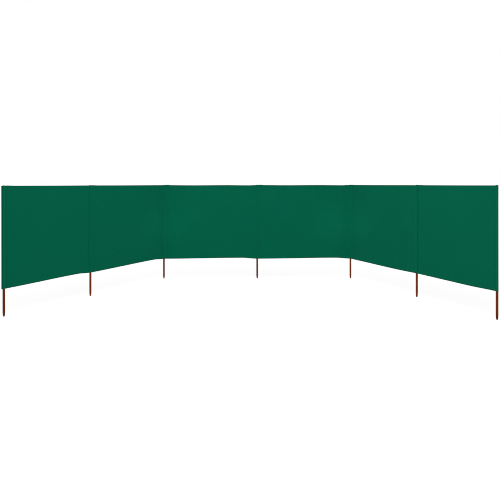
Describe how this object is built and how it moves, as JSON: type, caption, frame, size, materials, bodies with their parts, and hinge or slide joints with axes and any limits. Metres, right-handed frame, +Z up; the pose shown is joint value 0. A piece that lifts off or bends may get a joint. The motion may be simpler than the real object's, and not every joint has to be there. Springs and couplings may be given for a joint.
{
  "type": "beach windbreak",
  "caption": "Folding beach windbreak: green cloth bays between pointed wooden poles held in closed-topped pockets, with two wings standing forward.",
  "frame": {"origin": "centre of the blunt tip of pole 4, the middle pole", "axes": "+X along the two middle bays, towards the right as seen from the sheltered side; +Y away from the sheltered side; +Z up along the poles"},
  "size_m": [5.6183, 2.5436, 1.5],
  "materials": {
    "cloth": "matte woven polyester, dark green",
    "seam_cloth": "matte woven polyester, double thickness, stitched",
    "wood": "stained turned pine, satin, sanded and worn at the point"
  },
  "bodies": {
    "bay_3": {"panel_3": "cloth", "top_hem_3": "cloth", "bottom_hem_3": "cloth", "pole_3": "wood", "pocket_3": "seam_cloth", "pole_4": "wood", "pocket_4": "seam_cloth"},
    "bay_4": {"panel_4": "cloth", "top_hem_4": "cloth", "bottom_hem_4": "cloth", "pole_5": "wood", "pocket_5": "seam_cloth"},
    "bay_5": {"panel_5": "cloth", "top_hem_5": "cloth", "bottom_hem_5": "cloth", "pole_6": "wood", "pocket_6": "seam_cloth"},
    "bay_6": {"panel_6": "cloth", "top_hem_6": "cloth", "bottom_hem_6": "cloth", "pole_7": "wood", "pocket_7": "seam_cloth"},
    "bay_2": {"panel_2": "cloth", "top_hem_2": "cloth", "bottom_hem_2": "cloth", "pole_2": "wood", "pocket_2": "seam_cloth"},
    "bay_1": {"panel_1": "cloth", "top_hem_1": "cloth", "bottom_hem_1": "cloth", "pole_1": "wood", "pocket_1": "seam_cloth"}
  },
  "joints": [
    {"name": "pole_4_fold", "type": "hinge", "parent": "bay_3", "child": "bay_4", "pos_m": [0, 0, 0.9], "axis": [0, 0, 1], "range_deg": [-90, 165]},
    {"name": "pole_5_fold", "type": "hinge", "parent": "bay_4", "child": "bay_5", "pos_m": [1.5, 0, 0.9], "axis": [0, 0, -1], "range_deg": [-230.5, 99.5]},
    {"name": "pole_6_fold", "type": "hinge", "parent": "bay_5", "child": "bay_6", "pos_m": [2.12204, -1.36494, 0.9], "axis": [0, 0, 1], "range_deg": [-165, 165]},
    {"name": "pole_3_fold", "type": "hinge", "parent": "bay_3", "child": "bay_2", "pos_m": [-1.5, 0, 0.9], "axis": [0, 0, 1], "range_deg": [-223.5, 106.5]},
    {"name": "pole_2_fold", "type": "hinge", "parent": "bay_2", "child": "bay_1", "pos_m": [-2.28375, -1.27896, 0.9], "axis": [0, 0, -1], "range_deg": [-165, 165]}
  ]
}
